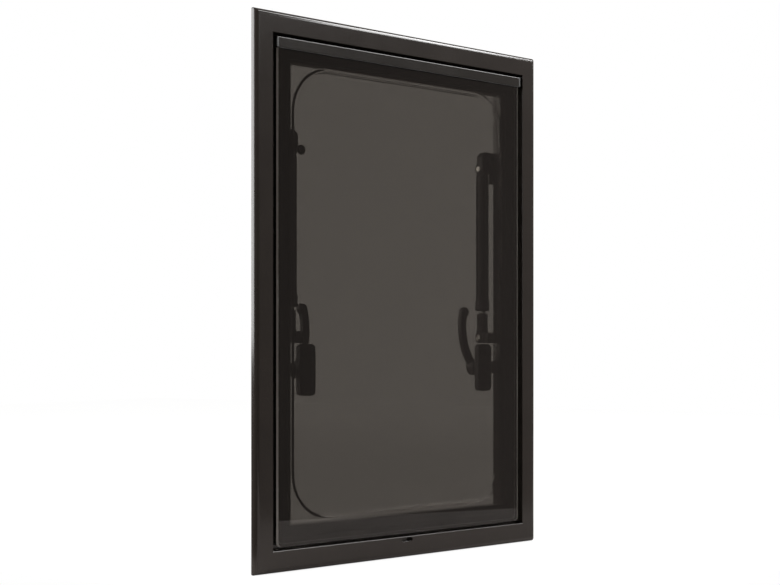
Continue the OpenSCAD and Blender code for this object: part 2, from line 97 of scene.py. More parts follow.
def moulded(name, dark, light, rough_low, rough_high, grain_mm, grain_depth_mm):
    """A moulded plastic or rubber: a fine grain from the mould and a slow drift of shade and gloss."""
    cloud_mm = 40
    material, tree, out = new_material(name)
    place = add(tree, "ShaderNodeTexCoord")
    cloud = add(tree, "ShaderNodeTexNoise", values={"Scale": 1 / (cloud_mm * MM), "Detail": 3.0},
                links={"Vector": (place, "Object")})
    grain = add(tree, "ShaderNodeTexNoise", values={"Scale": 1 / (grain_mm * MM), "Detail": 4.0},
                links={"Vector": (place, "Object")})
    shade = add(tree, "ShaderNodeMix", props={"data_type": "RGBA"},
                values={"A": linear(dark), "B": linear(light)}, links={"Factor": (cloud, "Fac")})
    rough = add(tree, "ShaderNodeMapRange", values={"To Min": rough_low, "To Max": rough_high},
                links={"Value": (cloud, "Fac")})
    bump = add(tree, "ShaderNodeBump", values={"Strength": 1.0, "Distance": grain_depth_mm * MM},
               links={"Height": (grain, "Fac")})
    shader = add(tree, "ShaderNodeBsdfPrincipled", values={"IOR": 1.5},
                 links={"Base Color": (shade, "Result"), "Roughness": (rough, "Result"),
                        "Normal": (bump, "Normal")})
    tree.links.new(shader.outputs[0], out.inputs["Surface"])
    return material


def acrylic(name, tint, wave_mm, wave_depth_mm):
    """Grey-tinted acrylic sheet: clear and glossy, with a slow ripple left by the press, and a painted glow on
    its edge.
    """
    material, tree, out = new_material(name)
    place = add(tree, "ShaderNodeTexCoord")
    wave = add(tree, "ShaderNodeTexNoise", values={"Scale": 1 / (wave_mm * MM), "Detail": 1.0},
               links={"Vector": (place, "Object")})
    bump = add(tree, "ShaderNodeBump", values={"Strength": 1.0, "Distance": wave_depth_mm * MM},
               links={"Height": (wave, "Fac")})
    sheet = add(tree, "ShaderNodeBsdfPrincipled",
                values={"Base Color": linear(tint), "Roughness": 0.0, "IOR": 1.49, "Transmission Weight": 1.0},
                links={"Normal": (bump, "Normal")})
    # The milled edge all round is matt, and its near-white colour is a painted glow standing in for the light
    # that the sheet pipes to it, paler than the faces.
    pale_edge_painted_glow = add(tree, "ShaderNodeBsdfPrincipled", values={"Base Color": linear("#ececea"), "Roughness": 0.45})
    split = add(tree, "ShaderNodeSeparateXYZ", links={"Vector": (place, "Normal")})
    across = add(tree, "ShaderNodeMath", props={"operation": "ABSOLUTE"}, links={0: (split, "Y")})
    rim = add(tree, "ShaderNodeMath", props={"operation": "LESS_THAN"}, values={1: 0.3}, links={0: (across, 0)})
    shader = add(tree, "ShaderNodeMixShader", links={0: (rim, 0), 1: (sheet, 0), 2: (pale_edge_painted_glow, 0)})
    tree.links.new(shader.outputs[0], out.inputs["Surface"])
    return material


def metal(name, dark, light, rough_low, rough_high, stretch):
    """A drawn or plated metal: fine streaks along the draw, or a mottle where stretch is even."""
    streak_mm, streak_depth_mm = 0.4, 0.01
    material, tree, out = new_material(name)
    place = add(tree, "ShaderNodeTexCoord")
    along = add(tree, "ShaderNodeMapping", values={"Scale": stretch}, links={"Vector": (place, "Object")})
    streak = add(tree, "ShaderNodeTexNoise", values={"Scale": 1 / (streak_mm * MM), "Detail": 3.0},
                 links={"Vector": (along, "Vector")})
    shade = add(tree, "ShaderNodeMix", props={"data_type": "RGBA"},
                values={"A": linear(dark), "B": linear(light)}, links={"Factor": (streak, "Fac")})
    rough = add(tree, "ShaderNodeMapRange", values={"To Min": rough_low, "To Max": rough_high},
                links={"Value": (streak, "Fac")})
    bump = add(tree, "ShaderNodeBump", values={"Strength": 0.4, "Distance": streak_depth_mm * MM},
               links={"Height": (streak, "Fac")})
    shader = add(tree, "ShaderNodeBsdfPrincipled", values={"Metallic": 1.0},
                 links={"Base Color": (shade, "Result"), "Roughness": (rough, "Result"),
                        "Normal": (bump, "Normal")})
    tree.links.new(shader.outputs[0], out.inputs["Surface"])
    return material


def make_materials():
    """All finishes, by the name of the record's slot."""
    return {
        # Polyurethane integral foam out of a polished mould: a warm near black, with a semi-gloss skin.
        "frame_foam": moulded("frame_foam", "#1f1c1a", "#272320", 0.13, 0.18, 0.5, 0.001),
        # Extruded EPDM: dead black and matt.
        "seal_rubber": moulded("seal_rubber", "#0c0c0c", "#151515", 0.6, 0.75, 0.8, 0.02),
        # Cast acrylic, tinted grey all through, polished faces.
        "outer_acrylic": acrylic("outer_acrylic", "#8d8a86", 60, 0.01),
        # Thermoformed acrylic of the same tint, with a little more ripple.
        "inner_acrylic": acrylic("inner_acrylic", "#8d8a86", 45, 0.02),
        # Extruded aluminium hinge rail with a satin black coat.
        "hinge_profile": moulded("hinge_profile", "#181715", "#1f1d1b", 0.14, 0.2, 0.6, 0.003),
        # Glass-filled nylon from a spark-eroded mould: black, with a fine dry texture.
        "fitting_plastic": moulded("fitting_plastic", "#121211", "#1a1a19", 0.45, 0.58, 0.35, 0.012),
        # The same nylon from a smoother mould: black, with a faint sheen on the handles.
        "lever_plastic": moulded("lever_plastic", "#131312", "#1b1b1a", 0.38, 0.5, 0.35, 0.01),
        # Smooth moulded ABS in dark grey, with a soft shine.
        "button_plastic": moulded("button_plastic", "#3a3a39", "#444442", 0.25, 0.32, 0.6, 0.003),
        # Zinc-plated steel: pale grey, slightly mottled.
        "pin_steel": metal("pin_steel", "#8f8f8c", "#c6c5c0", 0.25, 0.4, (1, 1, 1)),
        # Black anodised aluminium tube, with faint draw lines along its length.
        "tube_aluminium": metal("tube_aluminium", "#1b1b1b", "#272727", 0.3, 0.42, (1, 1, 0.02)),
        # Plain drawn aluminium rod: bright, with faint draw lines.
        "rod_aluminium": metal("rod_aluminium", "#b9b9b7", "#d2d2cf", 0.22, 0.35, (1, 1, 0.02)),
    }


def finish_cad_nodes(finishes):
    """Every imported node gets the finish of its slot."""
    for row in frame["record"]["subparts"]:
        node = frame["nodes"][row["node"]]
        node.data.materials.clear()
        node.data.materials.append(finishes[row["material_slot"]])


def make_camera():
    """The photo's camera: level, shifted up so that upright edges stay upright."""
    data = bpy.data.cameras.new("camera")
    data.sensor_width = SENSOR_W
    data.lens = FOCAL_PX / PICTURE_W * SENSOR_W
    data.shift_y = HORIZON_BELOW_CENTRE_PX / PICTURE_W
    data.clip_start = 0.05
    data.clip_end = 50
    camera = bpy.data.objects.new("camera", data)
    bpy.context.collection.objects.link(camera)
    heading = Vector((math.sin(CAMERA_HEADING), math.cos(CAMERA_HEADING), 0))
    camera.location = CAMERA_PLACE
    camera.rotation_euler = heading.to_track_quat("-Z", "Y").to_euler()
    bpy.context.scene.camera = camera


def looked_at(tree, rays, limit):
    """One for rays that come from the camera, straight or on through the panes, and zero for mirrored ones."""
    turns = add(tree, "ShaderNodeMath", props={"operation": "SUBTRACT"},
                links={0: (rays, "Ray Depth"), 1: (rays, "Transmission Depth")})
    straight = add(tree, "ShaderNodeMath", props={"operation": "LESS_THAN"}, values={1: limit},
                   links={0: (turns, 0)})
    through = add(tree, "ShaderNodeMath", props={"operation": "MULTIPLY"},
                  links={0: (rays, "Is Transmission Ray"), 1: (straight, 0)})
    return add(tree, "ShaderNodeMath", props={"operation": "MAXIMUM", "use_clamp": True},
               links={0: (rays, "Is Camera Ray"), 1: (through, 0)})


def make_world():
    """A white backdrop behind the window, a dim room in front of it, and a paler wall at the front right."""
    backdrop_way, wall_way = (0.55, 0.83, 0), (0.8, -0.6, 0)
    white, room, pale = (1, 1, 1, 1), (0.12, 0.103, 0.09, 1), (0.3, 0.26, 0.24, 1)
    world = bpy.data.worlds.new("studio")
    bpy.context.scene.world = world
    world.use_nodes = True
    tree = world.node_tree
    tree.nodes.clear()
    place = add(tree, "ShaderNodeTexCoord")

    def lobe(towards, start, end):
        """Rises from zero to one as a direction nears the one given."""
        near_it = add(tree, "ShaderNodeVectorMath", props={"operation": "DOT_PRODUCT"}, values={1: towards},
                      links={0: (place, "Generated")})
        return add(tree, "ShaderNodeMapRange", props={"interpolation_type": "SMOOTHSTEP"},
                   values={"From Min": start, "From Max": end}, links={"Value": (near_it, "Value")})

    wall = add(tree, "ShaderNodeMix", props={"data_type": "RGBA"}, values={"A": room, "B": pale},
               links={"Factor": (lobe(wall_way, 0.85, 1.03), "Result")})
    backdrop = add(tree, "ShaderNodeMix", props={"data_type": "RGBA"}, values={"B": white},
                   links={"Factor": (lobe(backdrop_way, 0.8, 0.97), "Result"), "A": (wall, "Result")})
    # Ray Depth counts one more in a world than on a surface.
    seen = looked_at(tree, add(tree, "ShaderNodeLightPath"), 1.5)
    shade = add(tree, "ShaderNodeMix", props={"data_type": "RGBA"}, values={"B": white},
                links={"Factor": (seen, 0), "A": (backdrop, "Result")})
    light = add(tree, "ShaderNodeBackground", values={"Strength": 1.0}, links={"Color": (shade, "Result")})
    out = add(tree, "ShaderNodeOutputWorld")
    tree.links.new(light.outputs[0], out.inputs["Surface"])


def softbox(name, place, aim, width, height, watts):
    """A rectangular soft light, its size in metres."""
    data = bpy.data.lights.new(name, "AREA")
    data.shape = "RECTANGLE"
    data.size, data.size_y = width, height
    data.energy = watts
    lamp = bpy.data.objects.new(name, data)
    bpy.context.collection.objects.link(lamp)
    lamp.location = place
    lamp.rotation_euler = (Vector(aim) - Vector(place)).to_track_quat("-Z", "Y").to_euler()


def make_lights():
    """A softbox high at the front right for the top edge, and a tall panel at the left for the sides."""
    softbox("top_softbox", (1.12, -0.88, 1.58), (0, 0, 0.5), 1.5, 1.12, 74)
    softbox("left_panel", (-0.9, 0.59, 0.75), (0.2, 0.59, 0.75), 1.42, 1.1, 44)


def make_floor():
    """A white sheet under the window, whose front edge runs where the window mirrors it in the photo."""
    edge_at, edge_to = Vector((0.090, -0.339, 0)), Vector((0.415, -0.244, 0))
    along = (edge_to - edge_at).normalized()
    inward = Vector((-along.y, along.x, 0))
    left, width, depth, gap = -0.277, 3.6, 3.6, 0.3 * MM
    centre = edge_at + along * (left + width / 2) + inward * depth / 2
    centre.z = FRAME_LOW.z - gap
    bpy.ops.mesh.primitive_plane_add(size=1, location=centre, rotation=(0, 0, math.atan2(along.y, along.x)))
    floor = bpy.context.object
    floor.name = "floor"
    floor.scale = (width, depth, 1)
    bpy.ops.object.transform_apply(location=True, rotation=True, scale=True)
    material, tree, out = new_material("pale_floor")
    place = add(tree, "ShaderNodeTexCoord")
    away = add(tree, "ShaderNodeVectorMath", props={"operation": "LENGTH"}, links={0: (place, "Object")})
    bright = add(tree, "ShaderNodeMapRange", props={"interpolation_type": "SMOOTHSTEP"},
                 values={"From Min": 0.2, "From Max": 0.9, "To Min": 0.88, "To Max": 0.97},
                 links={"Value": (away, "Value")})
    # Through the panes the glow is lowest near the window: painted shade on the sheet behind it.
    dull = add(tree, "ShaderNodeMapRange", props={"interpolation_type": "SMOOTHSTEP"},
               values={"From Min": 0.5, "From Max": 3.2, "To Min": 0.7, "To Max": 0.98},
               links={"Value": (away, "Value")})
    rays = add(tree, "ShaderNodeLightPath")
    # Straight from the camera the sheet is white, and through the tinted panes a little duller, dullest near the
    # window: a painted shade behind it.
    level = add(tree, "ShaderNodeMix",
                links={0: (rays, "Is Camera Ray"), 2: (dull, "Result"), 3: (bright, "Result")})
    seen = looked_at(tree, rays, 0.5)
    glow = add(tree, "ShaderNodeMath", props={"operation": "MULTIPLY"}, links={0: (seen, 0), 1: (level, 0)})
    # The lit part is what mirrors see. Under the glow only enough of it stays to carry the window's shadow.
    shade = add(tree, "ShaderNodeMix", props={"data_type": "RGBA"},
                values={"A": (0.33, 0.3, 0.285, 1), "B": (0.1, 0.1, 0.1, 1)}, links={"Factor": (seen, 0)})
    lit = add(tree, "ShaderNodeBsdfDiffuse", links={"Color": (shade, "Result")})
    lift = add(tree, "ShaderNodeEmission", links={"Strength": (glow, 0)})
    both = add(tree, "ShaderNodeAddShader", links={0: (lit, 0), 1: (lift, 0)})
    tree.links.new(both.outputs[0], out.inputs["Surface"])
    floor.data.materials.append(material)


def deselect():
    """Nothing stays selected, so that an operator acts on the next piece alone."""
    bpy.ops.object.select_all(action="DESELECT")


def cuboid(name, low, high):
    """A cube primitive stretched between two corners, with its place in its mesh."""
    deselect()
    low, high = Vector(low), Vector(high)
    bpy.ops.mesh.primitive_cube_add(size=1, location=(low + high) / 2)
    piece = bpy.context.object
    piece.name = name
    piece.scale = high - low
    bpy.ops.object.transform_apply(location=True, rotation=True, scale=True)
    return piece


def pick(piece, kind, test):
    """In edit mode, selects the faces, edges or verts that pass the test."""
    bpy.ops.mesh.select_mode(type={"faces": "FACE", "edges": "EDGE", "verts": "VERT"}[kind])
    bpy.ops.mesh.select_all(action="DESELECT")
    mesh = bmesh.from_edit_mesh(piece.data)
    for item in getattr(mesh, kind):
        if test(item):
            item.select_set(True)
    bmesh.update_edit_mesh(piece.data)


def middle(item):
    """Middle of an edge or a face."""
    return sum((v.co for v in item.verts), Vector()) / len(item.verts)


def near(a, b):
    """Whether two places are the same, within a hundredth of a millimetre."""
    return abs(a - b) < 0.01 * MM


def runs_along(edge, axis):
    """Whether an edge runs along axis 0, 1 or 2."""
    way = edge.verts[1].co - edge.verts[0].co
    return abs(way[axis]) > 0.999 * way.length


def edit():
    """Enters edit mode."""
    bpy.ops.object.mode_set(mode="EDIT")


def done(piece, angle=35):
    """Leaves edit mode and smooths all but the sharp edges, with the flat faces kept flat between soft edges."""
    bpy.ops.object.mode_set(mode="OBJECT")
    activate(piece)
    bpy.ops.object.shade_smooth_by_angle(angle=math.radians(angle))
    apply_modifier(piece, "WEIGHTED_NORMAL", keep_sharp=True)
    return piece


def bevel(width, segments):
    """Rounds the selected edges."""
    bpy.ops.mesh.bevel(offset=width, offset_type="OFFSET", segments=segments, profile=0.5, affect="EDGES")


def dress(piece, slot, body, finishes, *nodes):
    """Gives a new piece its finish, its body and the nodes that it stands for."""
    piece.data.materials.clear()
    piece.data.materials.append(finishes[slot])
    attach(piece, body)
    if nodes:
        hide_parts(*nodes)
    return piece


def activate(piece):
    """Selects one piece alone, so that the next operator acts on it."""
    deselect()
    piece.select_set(True)
    bpy.context.view_layer.objects.active = piece


def apply_modifier(piece, kind, **settings):
    """Adds a modifier and applies it at once."""
    activate(piece)
    modifier = piece.modifiers.new("work", kind)
    for name, value in settings.items():
        setattr(modifier, name, value)
    bpy.ops.object.modifier_apply(modifier="work")


def cut(piece, tool):
    """Takes the tool's shape out of the piece and removes the tool."""
    apply_modifier(piece, "BOOLEAN", operation="DIFFERENCE", object=tool, solver="EXACT")
    bpy.data.objects.remove(tool)


def join(first, *others):
    """Makes several shapes one piece."""
    activate(first)
    for other in others:
        other.select_set(True)
    bpy.ops.object.join()
    return first


def outward(piece):
    """Merges doubles and turns every face outwards."""
    activate(piece)
    edit()
    bpy.ops.mesh.select_all(action="SELECT")
    bpy.ops.mesh.remove_doubles(threshold=0.001 * MM)
    bpy.ops.mesh.normals_make_consistent(inside=False)
    bpy.ops.object.mode_set(mode="OBJECT")
    return piece


def settle(piece, place, turn=(0, 0, 0)):
    """Moves a shape made at the origin to its place, and puts the place in its mesh."""
    piece.location = place
    piece.rotation_euler = turn
    activate(piece)
    bpy.ops.object.transform_apply(location=True, rotation=True, scale=True)
    return piece


# Turns of a shape made along +Z so that it points along +X or +Y.
ALONG_X = (0, math.pi / 2, 0)
ALONG_Y = (-math.pi / 2, 0, 0)


def turned(name, profile, place, turn=(0, 0, 0), sides=48):
    """A turned shape: a disc that is extruded and scaled through (radius, height) steps in millimetres."""
    deselect()
    radius, height = profile[0]
    bpy.ops.mesh.primitive_circle_add(vertices=sides, radius=radius * MM, fill_type="NGON",
                                      location=(0, 0, height * MM))
    piece = bpy.context.object
    piece.name = name
    bpy.ops.object.transform_apply(location=True, rotation=True, scale=True)
    edit()
    bpy.ops.mesh.select_all(action="SELECT")
    for next_radius, next_height in profile[1:]:
        bpy.ops.mesh.extrude_region_move(
            TRANSFORM_OT_translate={"value": (0, 0, (next_height - height) * MM)})
        grow = next_radius / radius
        bpy.ops.transform.resize(value=(grow, grow, 1), center_override=(0, 0, next_height * MM))
        radius, height = next_radius, next_height
    bpy.ops.object.mode_set(mode="OBJECT")
    outward(piece)
    return settle(piece, place, turn)


def rounded(radius, height, edge, steps=4, start=0.0):
    """Profile of a disc from start up to height with a rounded upper edge."""
    points = [(radius, start)]
    for i in range(steps + 1):
        turn = math.radians(90 * i / steps)
        points.append((radius - edge + edge * math.cos(turn), height - edge + edge * math.sin(turn)))
    return points


def soft_block(name, low, high, edge, segments=3, axis=None):
    """A cuboid with softened edges, or only those along one axis."""
    piece = cuboid(name, low, high)
    edit()
    pick(piece, "edges", lambda e: axis is None or runs_along(e, axis))
    bevel(edge, segments)
    bpy.ops.object.mode_set(mode="OBJECT")
    return piece


def fitting_plate(name, low, high, corner_r, edge_r):
    """A moulded plate on a face that looks to the room: round corners and a soft rim on the room side."""
    piece = cuboid(name, low, high)
    edit()
    pick(piece, "edges", lambda e: runs_along(e, 1))
    bevel(corner_r, 6)
    pick(piece, "edges", lambda e: all(near(v.co.y, high[1]) for v in e.verts))
    bevel(edge_r, 4)
    bpy.ops.object.mode_set(mode="OBJECT")
    return piece


def mirrored(piece, name):
    """The right-hand copy of a left-hand piece, with its own mesh."""
    twin = piece.copy()
    twin.data = piece.data.copy()
    twin.name = name
    bpy.context.collection.objects.link(twin)
    twin.scale = (-1, 1, 1)
    activate(twin)
    bpy.ops.object.transform_apply(location=True, rotation=True, scale=True)
    return outward(twin)


def ring(name, low, high, width):
    """A flat rectangular ring: a cuboid whose front and back faces are inset and bridged."""
    piece = cuboid(name, low, high)
    edit()
    pick(piece, "faces", lambda f: abs(f.normal.y) > 0.9)
    bpy.ops.mesh.inset(thickness=width)
    pick(piece, "faces", lambda f: abs(f.normal.y) > 0.9 and all(
        low[0] + 0.9 * width < v.co.x < high[0] - 0.9 * width for v in f.verts))
    bpy.ops.mesh.bridge_edge_loops()
    return piece


def make_frame(finishes):
    """The moulded frame: a flange with a round outer edge, a sleeve behind it, a seat and a clear opening."""
    corner_r, front_r, edge_r = 1.5 * MM, 5.8 * MM, 0.5 * MM
    clear_x, foot_drop = 142.4 * MM, 2 * MM
    low, high = FRAME_LOW, FRAME_HIGH
    piece = cuboid("frame_moulding", low, (high.x, 0, high.z))
    edit()
    pick(piece, "faces", lambda f: f.normal.y < -0.9)
    bpy.ops.mesh.inset(thickness=FLANGE_W)
    bpy.ops.mesh.extrude_region_move(TRANSFORM_OT_translate={"value": (0, LIP_FRONT - low.y, 0)})
    bpy.ops.mesh.inset(thickness=FRAME_IN - FLANGE_W)
    pick(piece, "faces", lambda f: f.normal.y > 0.9)
    bpy.ops.mesh.inset(thickness=OVERLAP)
    bpy.ops.mesh.extrude_region_move(TRANSFORM_OT_translate={"value": (0, high.y, 0)})
    bpy.ops.mesh.inset(thickness=FRAME_IN - OVERLAP)
    opening_x = high.x - FRAME_IN
    pick(piece, "faces", lambda f: abs(f.normal.y) > 0.9 and all(
        near(abs(v.co.x), opening_x) for v in f.verts))
    bpy.ops.mesh.bridge_edge_loops()
    # In the photo the clear opening is a little narrower and reaches lower than the solid's.
    pick(piece, "verts", lambda v: near(abs(v.co.x), opening_x))
    bpy.ops.transform.resize(value=(clear_x / opening_x, 1, 1), center_override=(0, 0, 0))
    pick(piece, "verts", lambda v: near(abs(v.co.x), clear_x) and near(v.co.z, low.z + FRAME_IN))
    bpy.ops.transform.translate(value=(0, 0, -foot_drop))
    pick(piece, "edges", lambda e: all(near(v.co.y, low.y) for v in e.verts) and outer_edge(e, 1 * MM))
    bevel(front_r, 12)
    pick(piece, "edges", lambda e: outer_edge(e, 4 * MM) and not runs_along(e, 0) and not runs_along(
        e, 2) and e.calc_face_angle(0) > math.radians(45))
    bevel(corner_r, 4)
    pick(piece, "edges", lambda e: e.calc_face_angle(0) > math.radians(60))
    bevel(edge_r, 4)
    done(piece)
    cut(piece, drain_cutter())
    return dress(done(piece), "frame_foam", "window", finishes, "frame")


def outer_edge(edge, reach):
    """Whether an edge lies within reach of the flange's outline."""
    at = middle(edge)
    return min(at.x - FRAME_LOW.x, FRAME_HIGH.x - at.x, at.z - FRAME_LOW.z, FRAME_HIGH.z - at.z) < reach


def drain_cutter():
    """The round-ended slot low in the bottom flange."""
    width, height, depth, rim = 15 * MM, 4.2 * MM, 4.5 * MM, 1 * MM
    top = FRAME_LOW.z + FLANGE_W - rim
    front = FRAME_LOW.y
    return soft_block("drain_cutter", (-width / 2, front - 1 * MM, top - height),
                      (width / 2, front + depth, top), height / 2 - 0.01 * MM, 8, axis=1)


def make_outer_pane(finishes):
    """The flat outer pane, with round corners and edges broken by polishing."""
    corner_r, edge_r = 4 * MM, 0.4 * MM
    piece = cuboid("outer_sheet", PANE_LOW, PANE_HIGH)
    edit()
    pick(piece, "edges", lambda e: runs_along(e, 1))
    bevel(corner_r, 10)
    pick(piece, "edges", lambda e: e.calc_face_angle(0) > math.radians(60))
    bevel(edge_r, 5)
    return dress(done(piece), "outer_acrylic", "window", finishes, "outer_pane")


def flat_outline(name, low, high, depth, corner_r, segments):
    """A plane in the window's plane, facing outdoors, with round corners."""
    deselect()
    centre = Vector(((low[0] + high[0]) / 2, depth, (low[1] + high[1]) / 2))
    bpy.ops.mesh.primitive_plane_add(size=1, location=centre, rotation=(math.pi / 2, 0, 0))
    piece = bpy.context.object
    piece.name = name
    piece.scale = (high[0] - low[0], high[1] - low[1], 1)
    bpy.ops.object.transform_apply(location=True, rotation=True, scale=True)
    edit()
    bpy.ops.mesh.select_all(action="SELECT")
    bpy.ops.mesh.bevel(offset=corner_r, offset_type="OFFSET", segments=segments, affect="VERTICES")
    return piece


def make_inner_pane(finishes):
    """The thermoformed inner pane: a flat border, a smooth step with large corners, and a flat field."""
    step_in, step_depth, wall_slope = 46.2 * MM, 5 * MM, math.radians(60)
    foot_r, head_r, rings = 3.6 * MM, 1.2 * MM, 6
    step_corner_r, border_corner_r, sheet_t = 46 * MM, 4 * MM, 3 * MM
    plug_r, bond_gap = 3.1 * MM, 0.1 * MM
    front = TRAY_LOW.y + bond_gap
    foot_low = (FRAME_LOW.x + step_in, FRAME_LOW.z + step_in)
    foot_high = (FRAME_HIGH.x - step_in, FRAME_HIGH.z - step_in)
    tray = flat_outline("inner_tray", foot_low, foot_high, front, step_corner_r, 24)
    turns = [wall_slope * (i + 1) / rings for i in range(rings)]
    path = [(0, 0)] + [(foot_r * math.sin(t), foot_r * (1 - math.cos(t))) for t in turns]
    wall_depth = step_depth - (foot_r + head_r) * (1 - math.cos(wall_slope))
    run = path[-1][0] + wall_depth / math.tan(wall_slope) + head_r * math.sin(wall_slope)
    path += [(run - head_r * math.sin(t), step_depth - head_r * (1 - math.cos(t))) for t in [*turns[::-1], 0]]
    for (run_a, depth_a), (run_b, depth_b) in zip(path, path[1:]):
        bpy.ops.mesh.inset(thickness=run_b - run_a, depth=depth_a - depth_b)
    bpy.ops.object.mode_set(mode="OBJECT")
    border = flat_outline("border", (TRAY_LOW.x, TRAY_LOW.z), (TRAY_HIGH.x, TRAY_HIGH.z), front,
                          border_corner_r, 8)
    bpy.ops.mesh.delete(type="ONLY_FACE")
    bpy.ops.object.mode_set(mode="OBJECT")
    piece = join(tray, border)
    edit()
    pick(piece, "edges", lambda e: len(e.link_faces) < 2)
    bpy.ops.mesh.fill(use_beauty=True)
    bpy.ops.mesh.select_all(action="SELECT")
    bpy.ops.mesh.remove_doubles(threshold=0.001 * MM)
    bpy.ops.mesh.normals_make_consistent(inside=False)
    facing = sum(f.normal.y * f.calc_area() for f in bmesh.from_edit_mesh(piece.data).faces)
    if facing > 0:
        bpy.ops.mesh.flip_normals()
    bpy.ops.object.mode_set(mode="OBJECT")
    apply_modifier(piece, "SOLIDIFY", thickness=sheet_t, offset=-1, use_even_offset=True)
    plug_low, plug_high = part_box("breather_plug")
    plug_at = (plug_low + plug_high) / 2
    cut(piece, turned("plug_hole", [(plug_r / MM, -10), (plug_r / MM, 10)], plug_at, ALONG_Y))
    return dress(done(piece), "inner_acrylic", "window", finishes, "inner_pane")


def make_seal(finishes):
    """The foam-rubber strip between the frame's seat and the inner pane's border, round where it is pressed."""
    low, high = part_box("seal")
    width, pressed_r = 11 * MM, 1.4 * MM
    piece = ring("seal_strip", low, high, width)
    pick(piece, "edges", lambda e: all(near(v.co.y, low.y) for v in e.verts))
    bevel(pressed_r, 5)
    return dress(done(piece), "seal_rubber", "window", finishes, "seal")


def centre_of(node):
    """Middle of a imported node's box."""
    low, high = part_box(node)
    return (low + high) / 2


# Axes of the left-hand fittings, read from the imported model. Profiles are in millimetres.
PIVOT = centre_of("latch_pin_left")
STAY = centre_of("stay_tube_left")
TOP_PIN_Z = centre_of("stay_top_pin_left").z
FOOT_PIN_Z = centre_of("stay_foot_pin_left").z
EYE_R = 5.8


def weld(piece, *others):
    """Fuses overlapping shapes into one closed shell."""
    for other in others:
        apply_modifier(piece, "BOOLEAN", operation="UNION", object=other, solver="EXACT")
        bpy.data.objects.remove(other)
    return piece


def mould(piece, grain=0.45, rounds=4):
    """Rounds all edges and inner corners a little, as on an injection moulding."""
    apply_modifier(piece, "REMESH", mode="VOXEL", voxel_size=grain * MM)
    apply_modifier(piece, "SMOOTH", factor=0.5, iterations=rounds)
    return piece


def drill(piece, radius, place, turn, reach=40):
    """Bores a round hole through a piece, along the turn given."""
    cut(piece, turned("drill", [(radius, -reach), (radius, reach)], place, turn))
    return piece


def slice_off(piece, point, normal):
    """Cuts away what lies beyond a plane and closes the cut."""
    activate(piece)
    edit()
    bpy.ops.mesh.select_all(action="SELECT")
    bpy.ops.mesh.bisect(plane_co=point, plane_no=normal, use_fill=True, clear_outer=True)
    bpy.ops.object.mode_set(mode="OBJECT")
    return outward(piece)


def both_sides(piece, slot, body, finishes, node, angle=35):
    """Finishes a left-hand piece and makes its mirror image at the right."""
    twin = mirrored(piece, piece.name.replace("left", "right"))
    for one, side in ((piece, "left"), (twin, "right")):
        nodes = [node + "_" + side] if node else []
        dress(done(one, angle), slot, body.replace("left", side), finishes, *nodes)


def pebble(radius, thick, edge, steps=4):
    """Profile of a disc with both edges rounded."""
    lower = [(r, thick - h) for r, h in rounded(radius, thick, edge, steps)[:0:-1]]
    return lower + rounded(radius, thick, edge, steps)[1:]


def make_latch_base(finishes):
    """The latch's base on the inner pane: a rounded plate with a boss for the pin and a well for the button."""
    low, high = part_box("latch_base_left")
    back = low.y + 7 * MM
    corner_r, rim_r = 5 * MM, 2 * MM
    boss_r, boss_h, boss_edge = 7.5, 2.7, 0.5
    pin_r, pin_depth, well_r, well_depth = 2.6, 5.5, 4.8, 3
    well = centre_of("latch_button_left")
    piece = fitting_plate("latch_base_left", low, (high.x, back, high.z), corner_r, rim_r)
    weld(piece, turned("boss", rounded(boss_r, boss_h, boss_edge, start=-1), (PIVOT.x, back, PIVOT.z), ALONG_Y))
    cut(piece, turned("pin_seat", [(pin_r, -pin_depth), (pin_r, 5)], (PIVOT.x, back, PIVOT.z), ALONG_Y))
    cut(piece, turned("button_well", [(well_r, -well_depth), (well_r, 2)], (well.x, back, well.z), ALONG_Y))
    both_sides(piece, "fitting_plastic", "window", finishes, "latch_base")


def make_latch_button(finishes):
    """The round release button, with a shallow dish for the finger."""
    low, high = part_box("latch_button_left")
    at = (low + high) / 2
    tall, button_r, edge = (high.y - low.y) / MM, 4.5, 0.7
    dish = [(3.2, tall), (2.2, tall - 0.35), (0.6, tall - 0.5)]
    profile = rounded(button_r, tall, edge) + dish
    piece = turned("latch_button_left", profile, (at.x, low.y, at.z), ALONG_Y)
    both_sides(piece, "button_plastic", "window", finishes, "latch_button")


def make_latch_pin(finishes):
    """The latch's pin, with a domed riveted head on the room side."""
    low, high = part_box("latch_pin_left")
    tall, pin_r, head_r, head_h = (high.y - low.y) / MM, 2.5, 4, 0.9
    profile = [(pin_r, 0), (pin_r, tall - head_h)] + rounded(head_r, tall, 0.85, start=tall - head_h)
    piece = turned("latch_pin_left", profile, (PIVOT.x, low.y, PIVOT.z), ALONG_Y)
    both_sides(piece, "pin_steel", "window", finishes, "latch_pin")


